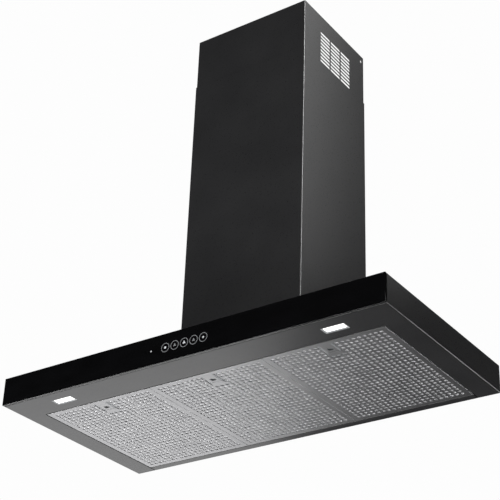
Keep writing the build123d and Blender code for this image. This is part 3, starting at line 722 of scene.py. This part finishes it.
def underside_sheet():
    """Front strip and side strips round the filters, with flanges folded up at the opening."""
    low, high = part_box("underside_panel")
    shell_low, shell_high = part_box("canopy_shell")
    inset = CANOPY_TURN_IN + SEAM
    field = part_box("filter_right_tray")[1].x + FIELD_GAP
    front_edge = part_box("filter_right_tray")[0].y - FRONT_GAP
    sheet = grid("underside_sheet", (shell_low.x + inset, shell_low.y + inset),
                 (shell_high.x - inset, high.y), low.z)
    take(sheet)
    bpy.ops.object.mode_set(mode="EDIT")
    for point, normal in (((-field, 0, 0), (1, 0, 0)), ((field, 0, 0), (1, 0, 0)), ((0, 0, 0), (1, 0, 0)),
                          ((0, front_edge, 0), (0, 1, 0))):
        bpy.ops.mesh.select_all(action="SELECT")
        bpy.ops.mesh.bisect(plane_co=point, plane_no=normal)
    done()
    remove_faces(sheet, lambda c, n: abs(c.x) < field and c.y > front_edge)
    for lamp in ("left", "right"):
        rim_low, rim_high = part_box(f"lamp_{lamp}_housing")
        middle, margin = (rim_low.x + rim_high.x) / 2, LAMP_WINDOW_MARGIN
        cut_window(sheet, lambda c, n: c.x * middle > 0 and abs(c.x) < field,
                   (rim_low.x - margin, rim_low.y - margin, low.z),
                   (rim_high.x + margin, rim_high.y + margin, low.z))

    def at_opening(a, b):
        on_side = near(a.x, b.x) and near(abs(a.x), field) and min(a.y, b.y) > front_edge - 0.0001
        on_front = near(a.y, b.y) and near(a.y, front_edge) and max(abs(a.x), abs(b.x)) < field + 0.0001
        return on_side or on_front

    fold_out(sheet, at_opening, (0, 0, PANEL_FLANGE))
    round_edges(sheet, lambda a, b: level(a, b, low.z) and at_opening(a, b), PANEL_FOLD)
    thicken(sheet, SHEET, inward=False)
    smooth(sheet)
    return place(sheet, "canopy", "black_paint", "underside_panel")


def lamp(side):
    """A lamp: rounded bezel with a sloped inner wall, and a lens with a frosted field and clear rim."""
    low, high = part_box(f"lamp_{side}_housing")
    lens_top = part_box(f"lamp_{side}_lens")[1].z
    mid = (low + high) / 2
    shell = block(f"lamp_{side}_bezel", low, high)
    take(shell)
    pick(shell, "FACE", lambda c, n: n.z < -0.5)
    bpy.ops.mesh.inset(thickness=LAMP_BEZEL)
    bpy.ops.transform.translate(value=(0, 0, LAMP_RECESS))
    bpy.ops.mesh.inset(thickness=0.0003)
    bpy.ops.transform.translate(value=(0, 0, high.z - low.z - 0.003))
    done()
    round_edges(shell, lambda a, b: level(a, b, low.z)
                or near(a.x, b.x) and near(a.y, b.y) and (near(a.x, low.x) or near(a.x, high.x)), 0.0004, 3)
    smooth(shell)
    place(shell, "canopy", "grey_plastic", f"lamp_{side}_housing")

    inner = LAMP_BEZEL + 0.0002
    lens = block(f"lamp_{side}_diffuser", (low.x + inner, low.y + inner, low.z + LAMP_RECESS * 0.6),
                 (high.x - inner, high.y - inner, lens_top))
    pick(lens, "FACE", lambda c, n: n.z < -0.5)
    bpy.ops.mesh.inset(thickness=0.0022)
    bpy.ops.transform.translate(value=(0, 0, -0.0003))
    done()
    round_edges(lens, lambda a, b: level(a, b, low.z + LAMP_RECESS * 0.6), 0.0003)
    smooth(lens)
    place(lens, "canopy", "lamp_lens", f"lamp_{side}_lens")
    lens.data.materials.append(LENS_RIM)
    for face in lens.data.polygons:
        to_edge = [(high[i] - low[i]) / 2 - abs(face.center[i] - mid[i]) for i in range(2)]
        face.material_index = 1 if min(to_edge) < inner + 0.002 else 0
    return lens


# ---------------------------------------------------------------- glass front, rail and screws

def glass_front():
    """The glass pane with ground, slightly rounded edges."""
    low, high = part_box("front_glass")
    pane = block("glass_pane", low, high)
    pick(pane, "EDGE", lambda a, b: True)
    bpy.ops.mesh.bevel(offset=GLASS_EDGE, segments=3, affect="EDGES")
    done()
    smooth(pane)
    return place(pane, "canopy", "black_glass", "front_glass")


# ---------------------------------------------------------------- chimney

def bent_cover(name, node):
    """A sheet bent round three sides of the chimney with narrow returns at the back."""
    low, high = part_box(node)
    cover = block(name, low, high)
    remove_faces(cover, lambda c, n: abs(n.z) > 0.5 or n.y > 0.5)
    round_edges(cover, lambda a, b: near(a.y, low.y) and near(b.y, low.y) and near(a.x, b.x), COVER_BEND, 5)
    for side in (-1, 1):
        edge_x = high.x if side > 0 else low.x
        at_wall = lambda a, b: (near(a.y, high.y) and near(b.y, high.y)
                                and near(a.x, edge_x) and near(b.x, edge_x))
        fold_out(cover, at_wall, (-side * COVER_RETURN, 0, 0))
    thicken(cover, SHEET)
    return cover


def lower_chimney():
    """Outer cover, with its upper rim rounded."""
    cover, top = bent_cover("lower_chimney_sheet", "lower_cover"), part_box("lower_cover")[1].z
    round_edges(cover, lambda a, b: level(a, b, top), COVER_RIM, 2)
    smooth(cover)
    return place(cover, "canopy", "black_paint", "lower_cover")


def upper_chimney():
    """Inner cover, with vent slots and a screw hole in each side."""
    cover, high = bent_cover("upper_chimney_sheet", "upper_cover"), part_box("upper_cover")[1]
    reach = high.x + 0.01
    slot = block("slot", (-reach, -VENT_LENGTH / 2, -VENT_HEIGHT / 2),
                 (reach, VENT_LENGTH / 2, VENT_HEIGHT / 2))
    round_edges(slot, lambda a, b: near(a.y, b.y) and near(a.z, b.z), VENT_HEIGHT / 2 * 0.98, 5)
    slots = []
    for column in range(VENT_COLUMNS):
        for row in range(VENT_ROWS):
            slots.append(copy_at(slot, (0, VENT_MID_Y + (column - (VENT_COLUMNS - 1) / 2) * VENT_PITCH_Y,
                                        high.z - VENT_DROP - row * VENT_PITCH_Z)))
    bpy.data.objects.remove(slot)
    hole_z = high.z - SIDE_HOLE_DROP
    hole = rod("hole", SIDE_HOLE_R, (-reach, SIDE_HOLE_Y, hole_z), (reach, SIDE_HOLE_Y, hole_z))
    cut(cover, hole, *slots)
    smooth(cover)
    return place(cover, "upper_chimney", "black_paint", "upper_cover")


# ---------------------------------------------------------------- screws and blower

def separate_parts(node):
    """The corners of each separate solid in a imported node."""
    source = frame["nodes"][node]
    points = [source.matrix_world @ v.co for v in source.data.vertices]
    group = list(range(len(points)))

    def root(i):
        while group[i] != i:
            group[i] = group[group[i]]
            i = group[i]
        return i

    met = {}
    for i, point in enumerate(points):
        key = tuple(round(c, 6) for c in point)
        group[root(i)] = root(met.setdefault(key, i))
    for edge in source.data.edges:
        group[root(edge.vertices[0])] = root(edge.vertices[1])
    parts = {}
    for i, point in enumerate(points):
        parts.setdefault(root(i), []).append(point)
    return list(parts.values())


def screw_shape(name, head_r, head_t, shank_r, length):
    """A pan-head screw along +Z with its head's underside at z = 0: cross recess above, thread below."""
    head = rod(f"{name}_head", head_r, (0, 0, 0), (0, 0, head_t), 20)
    round_edges(head, lambda a, b: near(a.z, head_t) and near(b.z, head_t), head_t * 0.55, 3)
    long_half, short_half = head_r * 0.55, head_r * 0.11
    across = block("arm", (-long_half, -short_half, head_t * 0.4), (long_half, short_half, head_t + 0.001))
    down = block("arm", (-short_half, -long_half * 0.98, head_t * 0.42),
                 (short_half, long_half * 0.98, head_t + 0.002))
    cut(head, across, down)
    root_r = shank_r * 0.86
    shank = rod(f"{name}_shank", root_r, (0, 0, -length), (0, 0, 0), 14)
    rings = []
    turns = max(2, int(length / THREAD_PITCH))
    for turn in range(turns):
        put_all_down()
        bpy.ops.mesh.primitive_cone_add(vertices=14, radius1=shank_r, radius2=root_r,
                                        depth=THREAD_PITCH * 0.6,
                                        location=(0, 0, -length + (turn + 0.5) * length / turns))
        rings.append(bpy.context.object)
        keep_place_in_mesh(rings[-1])
    shape = join(name, head, shank, *rings)
    smooth(shape, 30)
    return shape


def screws(node, body, slot="screw_steel"):
    """Cross-head screws in place of each plain one in a node."""
    shape, placed = None, []
    for points in separate_parts(node):
        low = Vector([min(p[i] for p in points) for i in range(3)])
        high = Vector([max(p[i] for p in points) for i in range(3)])
        size, mid = high - low, (low + high) / 2
        axis = max(range(3), key=lambda i: min(abs(size[i] - size[j]) for j in range(3) if j != i))
        across = [i for i in range(3) if i != axis]
        radius = lambda p: math.hypot(*(p[i] - mid[i] for i in across))
        head_r = size[across[0]] / 2
        wide = [p[axis] for p in points if radius(p) > head_r * 0.9]
        head_t, up = max(wide) - min(wide), 1 if max(wide) > high[axis] - 0.0001 else -1
        tip = low[axis] if up > 0 else high[axis]
        shank_r = max(radius(p) for p in points if near(p[axis], tip, 0.0001))
        if shape is None:
            shape = screw_shape(f"{node}_set", head_r, head_t, shank_r, size[axis] - head_t)
        aim = Vector([up if i == axis else 0 for i in range(3)])
        seat = mid.copy()
        seat[axis] = min(wide) if up > 0 else max(wide)
        twin = copy_at(shape, (0, 0, 0))
        twin.rotation_euler = aim.to_track_quat("Z", "Y").to_euler()
        twin.location = seat
        keep_place_in_mesh(twin)
        placed.append(twin)
    bpy.data.objects.remove(shape)
    return place(join(f"{node}_set", *placed), body, slot, node)


def motor_housing():
    """Motor can with cooling fins round it and a bearing cap at its outer end."""
    low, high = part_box("motor_can")
    mid, radius = (low + high) / 2, (high.y - low.y) / 2
    core_r, core_end = radius - FIN_DEPTH, high.x - CAP_T
    core = rod("motor_housing", core_r, (low.x, mid.y, mid.z), (core_end, mid.y, mid.z), 48)
    round_edges(core, lambda a, b: near(a.x, b.x) and (near(a.x, core_end) or near(a.x, low.x)), 0.002, 3)
    cap = rod("bearing_cap", radius * 0.42, (core_end - 0.001, mid.y, mid.z), (high.x, mid.y, mid.z), 40)
    round_edges(cap, lambda a, b: near(a.x, high.x) and near(b.x, high.x), 0.0012, 3)
    bore = rod("bore", SHAFT_HOLE_R, (low.x - 0.01, mid.y, mid.z), (high.x + 0.01, mid.y, mid.z), 24)
    can = join("motor_housing", core, cap)
    cut(can, bore)
    fin = block("fin", (low.x + 0.004, -0.0008, core_r - 0.001), (core_end - 0.003, 0.0008, radius))
    modify(fin, "BEVEL", width=0.0004, segments=2)
    fins = []
    for i in range(FIN_COUNT):
        twin = copy_at(fin, (0, 0, 0))
        twin.rotation_euler = (math.tau * i / FIN_COUNT, 0, 0)
        twin.location = (0, mid.y, mid.z)
        keep_place_in_mesh(twin)
        fins.append(twin)
    bpy.data.objects.remove(fin)
    can = join("motor_housing", can, *fins)
    smooth(can)
    return place(can, "canopy", "motor_paint", "motor_can")


def run_capacitor():
    """Capacitor can with a rolled rim, a sleeve and two terminal blades."""
    low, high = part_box("capacitor")
    mid, radius = (low + high) / 2, (high.x - low.x) / 2
    body = rod("capacitor_can", radius - 0.0004, (mid.x, mid.y, low.z), (mid.x, mid.y, high.z - 0.008), 40)
    round_edges(body, lambda a, b: near(a.z, b.z), 0.0015, 3)
    sleeve = rod("sleeve", radius, (mid.x, mid.y, low.z + 0.006), (mid.x, mid.y, high.z - 0.013), 40)
    round_edges(sleeve, lambda a, b: near(a.z, b.z), 0.0003, 2)
    blades = [block("blade", (x - 0.0004, mid.y - 0.003, high.z - 0.0085),
                    (x + 0.0004, mid.y + 0.003, high.z)) for x in (mid.x - 0.005, mid.x + 0.005)]
    can = join("capacitor_can", body, sleeve, *blades)
    smooth(can)
    return place(can, "canopy", "white_plastic", "capacitor")


def electronics_lid():
    """Lid of the control box with raised ribs and a rounded rim."""
    low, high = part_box("control_box_lid")
    size = high - low
    lid = block("electronics_lid", low, high)
    flat = max(range(3), key=lambda i: -size[i])
    outward = Vector([1 if i == flat else 0 for i in range(3)])
    pick(lid, "FACE", lambda c, n: n.dot(outward) > 0.5)
    bpy.ops.mesh.inset(thickness=0.004)
    bpy.ops.transform.translate(value=tuple(-outward * size[flat] * 0.3))
    bpy.ops.mesh.inset(thickness=0.003)
    bpy.ops.transform.translate(value=tuple(outward * size[flat] * 0.25))
    done()
    modify(lid, "BEVEL", width=min(0.0005, size[flat] * 0.2), segments=2, limit_method="ANGLE",
           angle_limit=math.radians(30))
    smooth(lid)
    return place(lid, "canopy", "grey_plastic", "control_box_lid")


# ---------------------------------------------------------------- touch keys

def ring(name, radius, line, x, y, z):
    """A thin printed ring in the XZ plane."""
    piece = printed_disc(name, radius, 48, x, y, z)
    pick(piece, "FACE", lambda c, n: True)
    bpy.ops.mesh.inset(thickness=line)
    bpy.ops.mesh.delete(type="FACE")
    done()
    thicken(piece, PRINT_T)
    return piece


def touch_prints():
    """Five backlit key rings with plain marks inside them, and the indicator dot beside them."""
    led_low, led_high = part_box("indicator_led")
    y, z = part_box("front_glass")[0].y, (led_low.z + led_high.z) / 2
    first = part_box("control_board")[0].x + KEY_FIRST
    keys = [first + i * KEY_PITCH for i in range(KEY_COUNT)]
    rings = [ring("key_ring", KEY_RING_R, KEY_LINE, x, y, z) for x in keys]
    place(join("touch_key_rings", *rings), "canopy", "indicator_lens",
          material=backlit("key_ring_light", 0.36))
    dim = [fan_mark("fan_mark", FAN_R, keys[1], y, z), fan_mark("fan_mark", FAN_R, keys[3], y, z)]
    place(join("touch_fan_marks", *dim), "canopy", "indicator_lens", material=backlit("mark_light", 0.32))
    bright = [fan_mark("fan_mark", FAN_R * 1.05, keys[2], y, z), dot("power_mark", DOT_R, keys[0], y, z),
              dot("lamp_mark", DOT_R * 0.85, keys[4], y, z),
              dot("indicator_dot", DOT_R * 0.6, (led_low.x + led_high.x) / 2, y, z)]
    place(join("touch_bright_marks", *bright), "canopy", "indicator_lens", "indicator_led",
          material=backlit("bright_mark_light", 0.9))


def printed_disc(name, radius, sides, x, y, z):
    """A flat printed disc in the XZ plane, facing the front."""
    put_all_down()
    bpy.ops.mesh.primitive_circle_add(vertices=sides, radius=radius, fill_type="NGON", location=(x, y, z),
                                      rotation=(math.pi / 2, 0, 0))
    piece = name_it(bpy.context.object, name)
    keep_place_in_mesh(piece)
    return piece


def dot(name, radius, x, y, z):
    """A raised round mark."""
    piece = printed_disc(name, radius, 24, x, y, z)
    thicken(piece, PRINT_T)
    return piece


def fan_mark(name, radius, x, y, z):
    """Three blades round a small middle."""
    blades = []
    for third in range(3):
        angle = math.radians(90 + 120 * third)
        out = radius * 0.58
        blades.append(dot("blade", radius * 0.42, x + out * math.cos(angle), y, z + out * math.sin(angle)))
    return join(name, dot("middle", radius * 0.3, x, y, z), *blades)


def backlit(name, strength):
    """Translucent print that a diode lights from behind."""
    material, tree, shader = new_material(name)
    mottle = surface_noise(tree, 1400, 2)
    shader.inputs["Base Color"].default_value = (0.22, 0.23, 0.24, 1)
    shader.inputs["Emission Color"].default_value = (0.95, 0.97, 1.0, 1)
    tree.links.new(spread(tree, mottle, 0.3, 0.7, strength * 0.8, strength * 1.2),
                   shader.inputs["Emission Strength"])
    tree.links.new(spread(tree, mottle, 0.3, 0.7, 0.4, 0.55), shader.inputs["Roughness"])
    return material


# ---------------------------------------------------------------- stage

def area_light(name, place_at, aim, size, power):
    """A rectangular soft light, unseen by the camera itself."""
    data = bpy.data.lights.new(name, "AREA")
    data.shape = "RECTANGLE"
    data.size, data.size_y = size
    data.energy = power
    lamp = bpy.data.objects.new(name, data)
    bpy.context.scene.collection.objects.link(lamp)
    lamp.location = place_at
    lamp.rotation_euler = (Vector(aim) - Vector(place_at)).to_track_quat("-Z", "Y").to_euler()
    lamp.visible_camera = False
    return lamp


def studio():
    """Plain pale floor, bright air and soft lights round the hood."""
    put_all_down()
    bpy.ops.mesh.primitive_plane_add(size=24, location=(0, 0, FLOOR_Z))
    floor = name_it(bpy.context.object, "studio_floor")
    keep_place_in_mesh(floor)
    pale = grained("pale_floor", (0.80, 0.80, 0.80), (0.84, 0.84, 0.84), (0.6, 0.7), patch=1, grain=200)
    shader = pale.node_tree.nodes["Principled BSDF"]
    shader.inputs["Emission Color"].default_value = (1, 1, 1, 1)
    shader.inputs["Emission Strength"].default_value = FLOOR_GLOW
    floor.data.materials.append(pale)
    floor.visible_glossy = False

    world = bpy.data.worlds.new("studio_air")
    bpy.context.scene.world = world
    world.use_nodes = True
    tree = world.node_tree
    back = tree.nodes["Background"]
    path = tree.nodes.new("ShaderNodeLightPath")
    strength = tree.nodes.new("ShaderNodeMapRange")
    strength.inputs["To Min"].default_value = 0.03
    strength.inputs["To Max"].default_value = 0.983
    tree.links.new(path.outputs["Is Camera Ray"], strength.inputs["Value"])
    tree.links.new(strength.outputs["Result"], back.inputs["Strength"])
    back.inputs["Color"].default_value = (1, 1, 1, 1)

    area_light("low_left_softbox", (-2.62, 1.5, -1.05), (-2.62, 0.5, -1.05), (3.1, 2.0), 26)
    area_light("right_strip", (0.95, 0.60, 1.90), (0.15, -0.25, 1.05), (0.5, 2.0), 6.5)
    area_light("front_fill", (0.3, -4.0, 1.0), (0, 0, 0.4), (1.8, 1.6), 78)
    area_light("front_edge_light", (-0.78, -1.08, -1.0), (-0.2, -0.45, 0), (1.7, 0.28), 21)
    area_light("edge_light", (1.15, 1.0, -0.64), (0.45, -0.25, 0), (0.35, 1.1), 13)
    corner = area_light("corner_strip", (2.02, -1.12, 2.04), (0.15, -0.30, 0.60), (0.7, 1.6), 120)
    corner.visible_diffuse = False
    area_light("top_softbox", (-0.6, 1.3, 3.4), (-0.2, 0.6, 0), (2.6, 2.2), 150)
    area_light("back_softbox", (-1.6, 3.4, 1.2), (0, 0, 0.5), (3.2, 2.6), 30)


def camera():
    """Below, in front and to the right of the hood, looking up at it."""
    data = bpy.data.cameras.new("view")
    eye = bpy.data.objects.new("view", data)
    bpy.context.scene.collection.objects.link(eye)
    data.sensor_width = 36
    data.lens = 102.41
    eye.location = (1.5161, -2.3583, -1.1349)
    right, up = Vector((0.82454, 0.56491, 0.03165)), Vector((0.2553, -0.4214, 0.8702))
    back = right.cross(up)
    axes = [(right[i], up[i], back[i]) for i in range(3)]
    eye.rotation_euler = Matrix(axes).to_euler()
    bpy.context.scene.camera = eye


# ---------------------------------------------------------------- the hood

dress_nodes()
for side in ("left", "middle", "right"):
    filter_face(side)
    filter_mesh(side)
    filter_back(side)
    latch_pocket(side)
    latch_bolt(side)
    latch_spring(side)
canopy_skin()
underside_sheet()
for side in ("left", "right"):
    lamp(side)
glass_front()
lower_chimney()
upper_chimney()
touch_prints()
for node in ("panel_screws", "canopy_top_screws", "scroll_screws", "collar_screws"):
    screws(node, "canopy")
motor_housing()
run_capacitor()
electronics_lid()
studio()
camera()
bpy.context.scene.view_settings.view_transform = "Standard"
